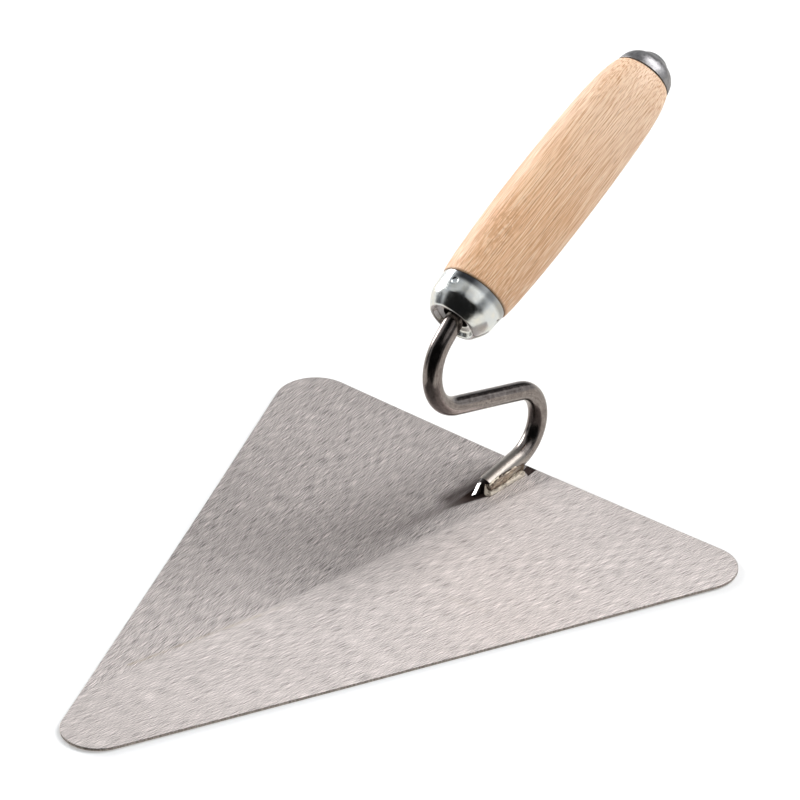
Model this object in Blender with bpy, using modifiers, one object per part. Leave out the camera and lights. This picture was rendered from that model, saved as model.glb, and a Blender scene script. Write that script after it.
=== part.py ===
"""Triangular bricklayer's trowel with a cranked rod neck and a turned beech handle.

Run with: blender --background --python part.py

Frame: metres, +Z up.  The underside of the blade lies in Z = 0, the tip points to -Y, the handle
rises towards +Y, and X = 0 is the plane of symmetry.  The origin is on the underside of the blade,
below the middle of the weld that holds the neck.
"""
import math

import bmesh
import bpy
from mathutils import Matrix, Vector

MM = 0.001
GAP = 0.3 * MM                    # clearance kept between touching pieces
MERGE = 0.01 * MM

# Blade: an isosceles triangle of sheet steel with three rounded corners.
BLADE_THICKNESS = 1.2 * MM
BLADE_LENGTH = 294.5 * MM         # back edge to the sharp tip, before rounding
BLADE_WIDTH = 255.2 * MM          # across the sharp rear corners
REAR_CORNER_RADIUS = 17.0 * MM
TIP_RADIUS = 15.3 * MM
CORNER_STEPS = 10
BACK_EDGE_Y = 15.0 * MM

# Neck: one round rod, bent in the plane X = 0.  The straights and bends follow each other from the
# foot on the blade to the tang in the handle.  Angles are in degrees, positive when they turn up.
ROD_RADIUS = 4.0 * MM
ROD_RESOLUTION = 3
FOOT_START_Y = -17.5 * MM
FOOT_START_HEIGHT = 1.33 * MM     # rod centre over the blade's face, at the foot's front end
FOOT_RISE = 10.7
FOOT_LENGTH = 26.35 * MM
HEEL_RADIUS = 16.3 * MM
HEEL_ANGLE = 154.0
CROSS_LENGTH = 42.2 * MM
TOE_RADIUS = 19.7 * MM
TOE_ANGLE = -122.8
RISER_LENGTH = 9.5 * MM
SET_RADIUS = 18.3 * MM
SET_ANGLE = -14.1
BEND_STEP = 9.0                   # degrees of bend between two points of the rod's path
HANDLE_ANGLE = FOOT_RISE + HEEL_ANGLE + TOE_ANGLE + SET_ANGLE

# Tang: the rod's end inside the handle, straight, then drawn to a point.
TANG_LENGTH = 62.0 * MM
TANG_POINT_LENGTH = 14.0 * MM
TANG_POINT_SCALE = 0.4

# The foot's front end is ground to a slope that starts just over the blade.
NIB_SLOPE = 28.0
NIB_START_HEIGHT = 1.4 * MM
NIB_CUT_LENGTH = 28.0 * MM
NIB_CUT_HEIGHT = 8.0 * MM
FLAT_CUT_LENGTH = 120.0 * MM      # cutters that leave the gap under the foot and the beads
FLAT_CUT_DEPTH = 30.0 * MM

# Weld beads: one along each side of the foot, round on top and thinner at both ends.
BEAD_RADIUS = 2.8 * MM
BEAD_OFFSET_X = 2.95 * MM
BEAD_AXIS_HEIGHT = 0.3 * MM
BEAD_FRONT_Y = -14.4 * MM
BEAD_REAR_Y = 9.6 * MM
BEAD_POINTS = 9
BEAD_RESOLUTION = 3
BEAD_END_SCALE = 0.72
ROD_POINTS_BY_BEADS = 6           # points of the rod's path that the beads lie along

# Handle set: stations along the handle's axis, measured from the mouth of the ferrule.
MOUTH_TO_BEND = 6.25 * MM         # from the mouth to the end of the neck's last bend
FERRULE_LENGTH = 15.1 * MM
FERRULE_RIM_RADIUS = 14.85 * MM
FERRULE_WALL = 0.8 * MM
FERRULE_MOUTH_RADIUS = 10.0 * MM
FERRULE_HOLE_RADIUS = 5.8 * MM
FERRULE_FLOOR_DEPTH = 2.6 * MM    # the floor around the hole stands back behind the mouth
STAKE_COUNT = 3
STAKE_STATION = 10.5 * MM
STAKE_FIRST_ANGLE = -94.0         # about the handle's axis, from +X towards the handle's underside
STAKE_RADIUS = 1.9 * MM
STAKE_DEPTH = 0.35 * MM
STAKE_HEIGHT = 4.0 * MM
WOOD_FRONT = 6.6 * MM
SEAT_SHOULDER = 10.2 * MM         # where the wood's front seat starts to taper inside the ferrule
SEAT_TAPER = 1.8 * MM
WOOD_WIDEST_RADIUS = 17.2 * MM
WOOD_WIDEST_PLACE = 0.4           # share of the visible wood, from the ferrule
BORE_RADIUS = 4.6 * MM
BORE_DEPTH = 74.0 * MM            # bottom of the drilled hole, from the mouth of the ferrule
DRILL_POINT = 2.0 * MM
CAP_START = 135.7 * MM
CAP_RADIUS = 12.45 * MM
CAP_WALL = 0.7 * MM
CAP_HEIGHT = 11.0 * MM
CAP_BOSS_POINTS = 6               # points of the cap's outside that belong to its raised boss
SEAT_CLEARANCE = GAP + 0.05 * MM
BARREL_STEPS = 18
TURNED_STEPS = 48


def clear_scene():
    for item in list(bpy.data.objects):
        bpy.data.objects.remove(item, do_unlink=True)


def new_collection(name):
    group = bpy.data.collections.new(name)
    bpy.context.scene.collection.children.link(group)
    return group


def new_material(name, colour, metallic, roughness):
    material = bpy.data.materials.new(name)
    material.use_nodes = True
    shader = material.node_tree.nodes["Principled BSDF"]
    shader.inputs["Base Color"].default_value = (*colour, 1.0)
    shader.inputs["Metallic"].default_value = metallic
    shader.inputs["Roughness"].default_value = roughness
    material.diffuse_color = (*colour, 1.0)
    return material


def new_object(name, data, group, material=None):
    item = bpy.data.objects.new(name, data)
    group.objects.link(item)
    if material is not None:
        data.materials.append(material)
    return item


def hide_guide(item):
    item.hide_render = True
    item.display_type = "WIRE"


def mesh_from_curve(curve_object, group):
    """Replace a curve by a mesh of the same name whose caps are welded to its sides."""
    bpy.context.view_layer.update()
    evaluated = curve_object.evaluated_get(bpy.context.evaluated_depsgraph_get())
    mesh = bpy.data.meshes.new_from_object(evaluated)
    work = bmesh.new()
    work.from_mesh(mesh)
    bmesh.ops.remove_doubles(work, verts=work.verts, dist=MERGE)
    bmesh.ops.recalc_face_normals(work, faces=work.faces)
    work.to_mesh(mesh)
    work.free()
    name = curve_object.name
    matrix = curve_object.matrix_world.copy()
    bpy.data.objects.remove(curve_object, do_unlink=True)
    item = bpy.data.objects.new(name, mesh)
    item.matrix_world = matrix
    group.objects.link(item)
    return item


def tube(name, points, radius, resolution, scales, group):
    """A round bar along a list of points, as a mesh; scales thins it at single points."""
    curve = bpy.data.curves.new(name, "CURVE")
    curve.dimensions = "3D"
    curve.bevel_depth = radius
    curve.bevel_resolution = resolution
    curve.use_fill_caps = True
    spline = curve.splines.new("POLY")
    spline.points.add(len(points) - 1)
    for target, point, scale in zip(spline.points, points, scales):
        target.co = (*point, 1.0)
        target.radius = scale
    return mesh_from_curve(new_object(name, curve, group), group)


def box(name, low, high, group):
    mesh = bpy.data.meshes.new(name)
    work = bmesh.new()
    bmesh.ops.create_cube(work, size=1.0)
    size = Vector(high) - Vector(low)
    bmesh.ops.scale(work, vec=size, verts=work.verts)
    bmesh.ops.translate(work, vec=(Vector(low) + Vector(high)) / 2, verts=work.verts)
    work.to_mesh(mesh)
    work.free()
    item = new_object(name, mesh, group)
    hide_guide(item)
    return item


def below_face(name, group):
    """A cutter that removes whatever is closer than the gap to the blade's upper face."""
    half = FLAT_CUT_LENGTH / 2
    return box(name, (-half, -half, -FLAT_CUT_DEPTH), (half, half, BLADE_THICKNESS + GAP), group)


def cut(item, cutter):
    modifier = item.modifiers.new("cut_" + cutter.name, "BOOLEAN")
    modifier.operation = "DIFFERENCE"
    modifier.solver = "EXACT"
    modifier.object = cutter


def smooth(item):
    item.data.shade_smooth()
    item.data.set_sharp_from_angle(angle=math.radians(35))


def turned(name, profile, closed, matrix, group, material):
    """Turn a profile of (radius, station) pairs about the local Z axis."""
    mesh = bpy.data.meshes.new(name)
    count = len(profile)
    edges = [(i, i + 1) for i in range(count - 1)]
    if closed:
        edges.append((count - 1, 0))
    mesh.from_pydata([(radius, 0.0, station) for radius, station in profile], edges, [])
    item = new_object(name, mesh, group, material)
    screw = item.modifiers.new("turn", "SCREW")
    screw.steps = TURNED_STEPS
    screw.render_steps = TURNED_STEPS
    screw.use_merge_vertices = True
    screw.merge_threshold = MERGE
    screw.use_smooth_shade = True
    item.matrix_world = matrix
    return item


def arc(centre, radius, start, end, steps):
    """Points on a circle; angles in degrees, from the first coordinate's axis."""
    points = []
    for i in range(steps + 1):
        angle = math.radians(start + (end - start) * i / steps)
        points.append((centre[0] + radius * math.cos(angle), centre[1] + radius * math.sin(angle)))
    return points


def blade_outline():
    """The rounded triangle, anticlockwise from the right rear corner."""
    half = BLADE_WIDTH / 2
    side = math.degrees(math.atan2(half, BLADE_LENGTH))       # between an edge and the axis
    rear_x = half - REAR_CORNER_RADIUS / math.tan(math.radians(90 - side) / 2)
    rear_y = BACK_EDGE_Y - REAR_CORNER_RADIUS
    tip_y = BACK_EDGE_Y - BLADE_LENGTH + TIP_RADIUS / math.sin(math.radians(side))
    right = arc((rear_x, rear_y), REAR_CORNER_RADIUS, -side, 90, CORNER_STEPS)
    left = arc((-rear_x, rear_y), REAR_CORNER_RADIUS, 90, 180 + side, CORNER_STEPS)
    tip = arc((0.0, tip_y), TIP_RADIUS, 180 + side, 360 - side, CORNER_STEPS)
    return right + left + tip


def make_blade(group, material):
    curve = bpy.data.curves.new("blade", "CURVE")
    curve.dimensions = "2D"
    curve.fill_mode = "BOTH"
    curve.extrude = BLADE_THICKNESS / 2
    outline = blade_outline()
    spline = curve.splines.new("POLY")
    spline.points.add(len(outline) - 1)
    for target, point in zip(spline.points, outline):
        target.co = (*point, 0.0, 1.0)
    spline.use_cyclic_u = True
    item = new_object("blade", curve, group)
    item.location = (0.0, 0.0, BLADE_THICKNESS / 2)
    item = mesh_from_curve(item, group)
    item.data.materials.append(material)
    return item


class RodPath:
    """Points of a bent rod in the plane X = 0, grown from straights and bends."""

    def __init__(self, y, z, heading):
        self.points = [Vector((0.0, y, z))]
        self.heading = heading

    def direction(self):
        angle = math.radians(self.heading)
        return Vector((0.0, math.cos(angle), math.sin(angle)))

    def straight(self, length):
        self.points.append(self.points[-1] + self.direction() * length)

    def bend(self, radius, angle):
        steps = max(2, math.ceil(abs(angle) / BEND_STEP))
        chord = 2 * radius * math.sin(math.radians(abs(angle) / steps / 2))
        for _ in range(steps):
            self.heading += angle / steps / 2
            self.straight(chord)
            self.heading += angle / steps / 2


def neck_path():
    path = RodPath(FOOT_START_Y, BLADE_THICKNESS + FOOT_START_HEIGHT, FOOT_RISE)
    path.straight(FOOT_LENGTH)
    path.bend(HEEL_RADIUS, HEEL_ANGLE)
    path.straight(CROSS_LENGTH)
    path.bend(TOE_RADIUS, TOE_ANGLE)
    path.straight(RISER_LENGTH)
    path.bend(SET_RADIUS, SET_ANGLE)
    return path


def handle_matrix():
    """Local Z runs along the handle from the ferrule's mouth, local X is the world's X."""
    path = neck_path()
    axis = path.direction()
    mouth = path.points[-1] - axis * MOUTH_TO_BEND
    across = Vector((1.0, 0.0, 0.0))
    below = axis.cross(across)
    matrix = Matrix((across, below, axis)).transposed().to_4x4()
    matrix.translation = mouth
    return matrix


def make_neck(group, cutters, material):
    path = neck_path()
    path.straight(TANG_LENGTH - TANG_POINT_LENGTH)
    path.straight(TANG_POINT_LENGTH)
    scales = [1.0] * len(path.points)
    scales[-1] = TANG_POINT_SCALE
    item = tube("neck", path.points, ROD_RADIUS, ROD_RESOLUTION, scales, group)
    item.data.materials.append(material)
    cut(item, below_face("under_foot", cutters))
    width = 3 * ROD_RADIUS
    slope = box("nib_slope", (-width, -NIB_CUT_LENGTH / 2, 0.0),
                (width, NIB_CUT_LENGTH / 2, NIB_CUT_HEIGHT), cutters)
    slope.rotation_euler.x = math.radians(NIB_SLOPE)
    slope.location = (0.0, FOOT_START_Y, BLADE_THICKNESS + NIB_START_HEIGHT)
    cut(item, slope)
    smooth(item)
    return item


def make_weld_beads(group, cutters, material):
    rod_points = neck_path().points[:ROD_POINTS_BY_BEADS]
    rod_cutter = tube("rod_clearance", rod_points, ROD_RADIUS + GAP, 2 * ROD_RESOLUTION,
                      [1.0] * ROD_POINTS_BY_BEADS, cutters)
    hide_guide(rod_cutter)
    below = below_face("under_beads", cutters)
    for name, side in (("weld_bead_left", -1), ("weld_bead_right", 1)):
        points = []
        scales = []
        for i in range(BEAD_POINTS):
            along = i / (BEAD_POINTS - 1)
            y = BEAD_FRONT_Y + (BEAD_REAR_Y - BEAD_FRONT_Y) * along
            points.append((side * BEAD_OFFSET_X, y, BLADE_THICKNESS + BEAD_AXIS_HEIGHT))
            from_middle = abs(2 * along - 1)
            scales.append(1.0 - (1.0 - BEAD_END_SCALE) * from_middle ** 6)
        item = tube(name, points, BEAD_RADIUS, BEAD_RESOLUTION, scales, group)
        item.data.materials.append(material)
        cut(item, rod_cutter)
        cut(item, below)
        smooth(item)


def ferrule_profile():
    """Outer side down to the rolled mouth, then the floor that stands back, then the inside."""
    rim, mouth, hole = FERRULE_RIM_RADIUS, FERRULE_MOUTH_RADIUS, FERRULE_HOLE_RADIUS
    wall = FERRULE_WALL
    outer = [(rim, FERRULE_LENGTH), (rim - 0.1 * MM, 12.3 * MM), (rim - 0.27 * MM, 9.5 * MM),
             (rim - 0.6 * MM, 6.6 * MM), (rim - 1.25 * MM, 4.8 * MM), (rim - 2.15 * MM, 3.1 * MM),
             (rim - 3.2 * MM, 1.4 * MM), (mouth + 0.9 * MM, 0.4 * MM), (mouth, 0.0)]
    floor = [(mouth - 0.7 * MM, 0.3 * MM), (mouth - 1.2 * MM, 1.2 * MM),
             (mouth - 2.0 * MM, 2.1 * MM), (hole, FERRULE_FLOOR_DEPTH)]
    inner = [(hole, FERRULE_FLOOR_DEPTH + wall), (mouth - 1.6 * MM, 3.0 * MM),
             (mouth - 0.3 * MM, 2.0 * MM), (mouth + 0.6 * MM, 1.6 * MM), (rim - 3.4 * MM, 3.2 * MM),
             (rim - 1.6 * MM, 6.4 * MM), (rim - wall - 0.2 * MM, 9.7 * MM),
             (rim - wall, FERRULE_LENGTH)]
    return outer + floor + inner


def make_ferrule(matrix, group, cutters, material):
    item = turned("ferrule", ferrule_profile(), True, matrix, group, material)
    for i in range(STAKE_COUNT):
        angle = math.radians(STAKE_FIRST_ANGLE + 360 / STAKE_COUNT * i)
        mesh = bpy.data.meshes.new("stake")
        work = bmesh.new()
        bmesh.ops.create_cone(work, cap_ends=True, segments=16, radius1=STAKE_RADIUS,
                              radius2=STAKE_RADIUS, depth=STAKE_HEIGHT)
        work.to_mesh(mesh)
        work.free()
        punch = new_object(f"stake_punch_{i + 1}", mesh, cutters)
        hide_guide(punch)
        outward = Vector((math.cos(angle), math.sin(angle), 0.0))
        reach = FERRULE_RIM_RADIUS - 0.15 * MM - STAKE_DEPTH + STAKE_HEIGHT / 2
        place = outward.to_track_quat("Z", "Y").to_matrix().to_4x4()
        place.translation = outward * reach + Vector((0.0, 0.0, STAKE_STATION))
        punch.matrix_world = matrix @ place
        cut(item, punch)
    return item


def wood_radius(station):
    """Radius of the visible wood: a long barrel whose rear half falls away faster."""
    front = FERRULE_LENGTH + GAP
    rear = CAP_START - GAP
    widest = front + WOOD_WIDEST_PLACE * (rear - front)
    if station < widest:
        fall = (widest - station) / (widest - front)
        return WOOD_WIDEST_RADIUS - 1.6 * MM * fall ** 2 - 0.4 * MM * fall ** 12
    fall = (station - widest) / (rear - widest)
    return WOOD_WIDEST_RADIUS - 2.4 * MM * fall ** 2.2 - 2.4 * MM * fall ** 10


def cap_outside():
    """From the middle of the raised boss to the rim."""
    end = CAP_START + CAP_HEIGHT
    return [(0.0, end), (3.0 * MM, end - 0.2 * MM), (4.4 * MM, end - 0.7 * MM),
            (5.5 * MM, end - 1.6 * MM), (6.2 * MM, end - 2.8 * MM), (7.0 * MM, end - 3.4 * MM),
            (8.2 * MM, end - 3.8 * MM), (9.5 * MM, end - 4.6 * MM), (10.7 * MM, end - 5.9 * MM),
            (11.6 * MM, end - 7.6 * MM), (12.1 * MM, end - 9.2 * MM), (CAP_RADIUS, CAP_START)]


def shrunk(points, distance):
    """The cap's profile moved inwards, towards the axis and towards the ferrule."""
    return [(radius * (1 - distance / CAP_RADIUS), station - distance)
            for radius, station in points]


def cap_profile():
    outside = cap_outside()
    inside = shrunk(reversed(outside[:-1]), CAP_WALL)
    return outside + [(CAP_RADIUS - CAP_WALL, CAP_START)] + inside


def handle_profile():
    """Rear seat, barrel, front seat, then up the drilled bore to its bottom on the axis."""
    front = FERRULE_LENGTH + GAP
    rear = CAP_START - GAP
    seat = shrunk(cap_outside()[CAP_BOSS_POINTS:-1], CAP_WALL + SEAT_CLEARANCE)
    profile = [(0.0, seat[0][1])] + seat + [(CAP_RADIUS - CAP_WALL - GAP, rear)]
    for i in range(BARREL_STEPS + 1):
        eased = 0.5 + 0.5 * math.cos(math.pi * i / BARREL_STEPS)
        station = front + (rear - front) * eased
        profile.append((wood_radius(station), station))
    front_seat = FERRULE_RIM_RADIUS - FERRULE_WALL - GAP
    profile += [(front_seat, front), (front_seat, SEAT_SHOULDER),
                (front_seat - SEAT_TAPER, WOOD_FRONT), (BORE_RADIUS, WOOD_FRONT),
                (BORE_RADIUS, BORE_DEPTH), (0.0, BORE_DEPTH + DRILL_POINT)]
    return profile


def main():
    clear_scene()
    trowel = new_collection("bricklaying_trowel")
    cutters = new_collection("cutters")
    blade_steel = new_material("blade_steel", (0.56, 0.53, 0.51), 1.0, 0.38)
    rod_steel = new_material("rod_steel", (0.24, 0.21, 0.20), 1.0, 0.34)
    weld_metal = new_material("weld_metal", (0.42, 0.34, 0.27), 1.0, 0.45)
    zinc = new_material("zinc_plate", (0.72, 0.73, 0.70), 1.0, 0.24)
    cap_steel = new_material("cap_steel", (0.46, 0.45, 0.46), 1.0, 0.30)
    beech = new_material("beech", (0.78, 0.55, 0.37), 0.0, 0.55)

    make_blade(trowel, blade_steel)
    make_neck(trowel, cutters, rod_steel)
    make_weld_beads(trowel, cutters, weld_metal)
    matrix = handle_matrix()
    make_ferrule(matrix, trowel, cutters, zinc)
    turned("handle", handle_profile(), False, matrix, trowel, beech)
    turned("end_cap", cap_profile(), False, matrix, trowel, cap_steel)


main()
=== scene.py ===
"""Looks of the bricklayer's trowel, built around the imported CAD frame.

Every piece is a fine mesh that stands for one CAD node.  The blade, rod and welds are made in the
row frame; the ferrule, handle and cap are turned about the handle's axis, local Z.
"""

import math

import bpy
import numpy as np
from mathutils import Matrix, Vector, noise


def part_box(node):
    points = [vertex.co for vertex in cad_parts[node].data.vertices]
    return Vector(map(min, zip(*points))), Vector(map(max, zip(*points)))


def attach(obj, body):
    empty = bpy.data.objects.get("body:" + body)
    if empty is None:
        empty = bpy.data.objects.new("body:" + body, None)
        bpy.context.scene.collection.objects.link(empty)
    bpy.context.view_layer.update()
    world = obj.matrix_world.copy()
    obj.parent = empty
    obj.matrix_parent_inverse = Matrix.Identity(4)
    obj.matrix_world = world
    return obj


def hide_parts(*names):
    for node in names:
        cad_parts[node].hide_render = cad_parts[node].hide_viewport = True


MM = 0.001

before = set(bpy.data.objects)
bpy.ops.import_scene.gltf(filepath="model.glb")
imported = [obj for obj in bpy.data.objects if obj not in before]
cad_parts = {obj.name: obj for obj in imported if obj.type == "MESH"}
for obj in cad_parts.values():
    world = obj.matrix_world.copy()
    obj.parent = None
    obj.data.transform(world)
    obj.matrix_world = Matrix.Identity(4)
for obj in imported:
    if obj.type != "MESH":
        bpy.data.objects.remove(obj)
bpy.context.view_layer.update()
BLADE_LOW, BLADE_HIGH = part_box("blade")
BLADE_TOP = BLADE_HIGH.z

# Driving dimensions, the same as the CAD's except where a comment says otherwise.
REAR_CORNER_RADIUS = 17.0 * MM
TIP_RADIUS = 15.3 * MM
BLADE_LENGTH = 294.5 * MM         # back edge to the sharp tip
BLADE_WIDTH = 255.2 * MM          # across the sharp rear corners
ROD_RADIUS = 4.0 * MM
FOOT_START = (-17.5 * MM, 1.33 * MM)      # along Y, and the rod's centre over the blade
FOOT_RISE = 10.7                  # degrees, from the blade up to the foot
# The neck after its foot: (radius, angle in degrees) of each bend, and the straights between.
FOOT_LENGTH = 26.35 * MM
HEEL = (16.3 * MM, 154.0)
CROSS_LENGTH = 42.2 * MM
TOE = (19.7 * MM, -122.8)
RISER_LENGTH = 9.5 * MM
SET_BEND = (18.3 * MM, -14.1)
TANG_LENGTH = 62.0 * MM
MOUTH_TO_BEND = 6.25 * MM
FERRULE_LENGTH = 15.1 * MM
FERRULE_RIM_RADIUS = 14.85 * MM
FERRULE_WALL = 0.8 * MM
STAKE_COUNT = 3
STAKE_STATION = 10.7 * MM         # the CAD's pits are 0.2 mm nearer the mouth
STAKE_FIRST_ANGLE = -94.0         # degrees about the handle's axis
WOOD_WIDEST_RADIUS = 17.2 * MM
WOOD_WIDEST_PLACE = 0.4           # share of the visible wood, from the ferrule
BORE_RADIUS = 4.6 * MM
CAP_START = 135.7 * MM
CAP_RADIUS = 12.45 * MM
CAP_HEIGHT = 11.0 * MM
GAP = 0.3 * MM                    # between touching pieces


# ---------------------------------------------------------------- meshes

def skin(name, rows, capped=True, location=None):
    """A mesh over rows of points: each row is a closed loop, and capped ends close with a fan."""
    rows = np.asarray(rows, float)
    count, around = rows.shape[:2]
    verts = [tuple(p) for row in rows for p in row]
    faces = []
    for i in range(count - 1):
        for j in range(around):
            k = (j + 1) % around
            faces.append((i * around + j, i * around + k, (i + 1) * around + k, (i + 1) * around + j))
    if capped:
        verts.append(tuple(rows[0].mean(0)))
        faces += [((j + 1) % around, j, len(verts) - 1) for j in range(around)]
        verts.append(tuple(rows[-1].mean(0)))
        base = (count - 1) * around
        faces += [(base + j, base + (j + 1) % around, len(verts) - 1) for j in range(around)]
    mesh = bpy.data.meshes.new(name)
    mesh.from_pydata(verts, [], faces)
    mesh.update()
    mesh.shade_smooth()
    piece = bpy.data.objects.new(name, mesh)
    bpy.context.scene.collection.objects.link(piece)
    if location is not None:
        piece.matrix_world = location
    return piece


def point_values(piece, name, values, kind="FLOAT"):
    """Store one number or one vector for each vertex, for the materials to read."""
    attribute = piece.data.attributes.new(name, kind, "POINT")
    key = "value" if kind == "FLOAT" else "vector"
    attribute.data.foreach_set(key, np.asarray(values, np.float32).ravel())


def arc(centre, radius, start, end, steps):
    angles = np.radians(np.linspace(start, end, steps + 1))
    return np.stack([centre[0] + radius * np.cos(angles), centre[1] + radius * np.sin(angles)], 1)


def smooth_line(points, step):
    """A Catmull-Rom curve through the points, with a point about every step."""
    points = np.asarray(points, float)
    padded = np.vstack([2 * points[0] - points[1], points, 2 * points[-1] - points[-2]])
    line = []
    for a, b, c, d in zip(padded, padded[1:], padded[2:], padded[3:]):
        count = max(1, round(np.linalg.norm(c - b) / step))
        for i in range(count):
            t = i / count
            line.append(0.5 * (2 * b + (c - a) * t + (2 * a - 5 * b + 4 * c - d) * t ** 2
                               + (3 * b - a - 3 * c + d) * t ** 3))
    line.append(points[-1])
    return np.array(line)


def ease(t):
    t = np.clip(t, 0.0, 1.0)
    return t * t * (3 - 2 * t)


# ---------------------------------------------------------------- shader nodes

class Shader:
    """Short names for the nodes that the materials here are made of."""

    def __init__(self, name, colour=(0.5, 0.5, 0.5), metallic=0.0, roughness=0.5):
        self.material = bpy.data.materials.new(name)
        self.material.use_nodes = True
        self.tree = self.material.node_tree
        self.surface = self.tree.nodes["Principled BSDF"]
        self.set("Base Color", (*colour, 1.0))
        self.set("Metallic", metallic)
        self.set("Roughness", roughness)
        self.material.diffuse_color = (*colour, 1.0)

    def put(self, target, value):
        if isinstance(value, bpy.types.NodeSocket):
            self.tree.links.new(value, target)
        elif hasattr(target.default_value, "__len__") and not hasattr(value, "__len__"):
            target.default_value = (value,) * len(target.default_value)
        elif hasattr(value, "__len__") and len(target.default_value) == 4 and len(value) == 3:
            target.default_value = (*value, 1.0)
        else:
            target.default_value = value

    def set(self, name, value):
        self.put(self.surface.inputs[name], value)

    def node(self, kind, **settings):
        made = self.tree.nodes.new(kind)
        for key, value in settings.items():
            setattr(made, key, value)
        return made

    def position(self):
        return self.node("ShaderNodeTexCoord").outputs["Object"]

    def attribute(self, name, output="Vector"):
        return self.node("ShaderNodeAttribute", attribute_name=name).outputs[output]

    def math(self, operation, a, b=0.0, c=0.0):
        made = self.node("ShaderNodeMath", operation=operation)
        for target, value in zip(made.inputs, (a, b, c)):
            self.put(target, value)
        return made.outputs[0]

    def vector(self, operation, a, b=(0.0, 0.0, 0.0)):
        made = self.node("ShaderNodeVectorMath", operation=operation)
        self.put(made.inputs[0], a)
        self.put(made.inputs[1], b)
        return made.outputs["Value"] if operation in ("DOT_PRODUCT", "LENGTH") else made.outputs[0]

    def split(self, vector):
        made = self.node("ShaderNodeSeparateXYZ")
        self.put(made.inputs[0], vector)
        return made.outputs[0], made.outputs[1], made.outputs[2]

    def join(self, x, y, z):
        made = self.node("ShaderNodeCombineXYZ")
        for target, value in zip(made.inputs, (x, y, z)):
            self.put(target, value)
        return made.outputs[0]

    def noise(self, vector, scale=1.0, detail=2.0, roughness=0.5):
        made = self.node("ShaderNodeTexNoise")
        self.put(made.inputs["Vector"], vector)
        self.put(made.inputs["Scale"], scale)
        self.put(made.inputs["Detail"], detail)
        self.put(made.inputs["Roughness"], roughness)
        return made.outputs[0]

    def spread(self, value, low, high, to_low=0.0, to_high=1.0, smooth=False):
        """Map low..high to to_low..to_high, with the ends held."""
        made = self.node("ShaderNodeMapRange", clamp=True)
        made.interpolation_type = "SMOOTHSTEP" if smooth else "LINEAR"
        for target, item in zip(made.inputs, (value, low, high, to_low, to_high)):
            self.put(target, item)
        return made.outputs[0]

    def mix(self, share, a, b):
        made = self.node("ShaderNodeMix", data_type="RGBA")
        self.put(made.inputs[0], share)
        self.put(made.inputs[6], a)
        self.put(made.inputs[7], b)
        return made.outputs[2]

    def ramp(self, value, stops):
        made = self.node("ShaderNodeValToRGB")
        self.put(made.inputs[0], value)
        elements = made.color_ramp.elements
        while len(elements) < len(stops):
            elements.new(1.0)
        for element, (place, colour) in zip(elements, stops):
            element.position = place
            element.color = (*colour, 1.0)
        return made.outputs[0]

    def bump(self, height, distance, strength):
        made = self.node("ShaderNodeBump")
        self.put(made.inputs["Strength"], strength)
        self.put(made.inputs["Distance"], distance)
        self.put(made.inputs["Height"], height)
        self.set("Normal", made.outputs[0])


def scaled(shader, vector, x, y, z):
    """The coordinates in grains: one noise cell is 1/x, 1/y, 1/z metres."""
    return shader.vector("MULTIPLY", vector, (x, y, z))


# Ground strokes on the blade: degrees from +Y towards +X on each side of a slanted seam.
STROKES_RIGHT = 10.5
STROKES_LEFT = -7.0
SEAM_X = 13.3 * MM                # where the seam between the two grinds crosses Y = 0
SEAM_SLOPE = 0.15                 # its drift along X for each metre along Y


def near_line(shader, x, y, start, end, wide_start, wide_end, soft):
    """1 near a line on the blade, fading outwards; the width runs from one end to the other."""
    ahead = Vector(end) - Vector(start)
    length = ahead.length
    ahead /= length
    dx = shader.math("SUBTRACT", x, start[0])
    dy = shader.math("SUBTRACT", y, start[1])
    along = shader.math("MULTIPLY_ADD", dx, ahead.x, shader.math("MULTIPLY", dy, ahead.y))
    side = shader.math("ABSOLUTE", shader.math("MULTIPLY_ADD", dx, ahead.y,
                                               shader.math("MULTIPLY", dy, -ahead.x)))
    over = shader.math("ABSOLUTE", shader.math("SUBTRACT", along, length / 2))
    over = shader.math("MAXIMUM", shader.math("SUBTRACT", over, length / 2), 0.0)
    away = shader.vector("LENGTH", shader.join(side, over, 0.0))
    width = shader.spread(along, 0.0, length, wide_start, wide_end)
    return shader.spread(shader.math("SUBTRACT", away, width), -soft, soft, 1.0, 0.0, smooth=True)


def streaks(shader, place, scale, shift, detail=1.0):
    """Streaks about zero: a noise less itself shifted sideways, which leaves no broad blotches."""
    here = shader.vector("MULTIPLY", place, scale)
    beside = shader.vector("ADD", here, shift)
    first = shader.noise(here, detail=detail)
    return shader.math("SUBTRACT", first, shader.noise(beside, detail=detail))


def inside(shader, x, y, corners, soft):
    """1 inside a convex polygon whose corners run anticlockwise."""
    share = 1.0
    for (ax, ay), (bx, by) in zip(corners, corners[1:] + corners[:1]):
        length = math.hypot(bx - ax, by - ay)
        nx, ny = (ay - by) / length, (bx - ax) / length
        away = shader.math("MULTIPLY_ADD", x, nx, shader.math("MULTIPLY", y, ny))
        away = shader.math("SUBTRACT", away, nx * ax + ny * ay)
        share = shader.math("MULTIPLY", share, shader.spread(away, -soft, soft, smooth=True))
    return share


BLADE_COLOUR = (0.545, 0.497, 0.479)


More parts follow.
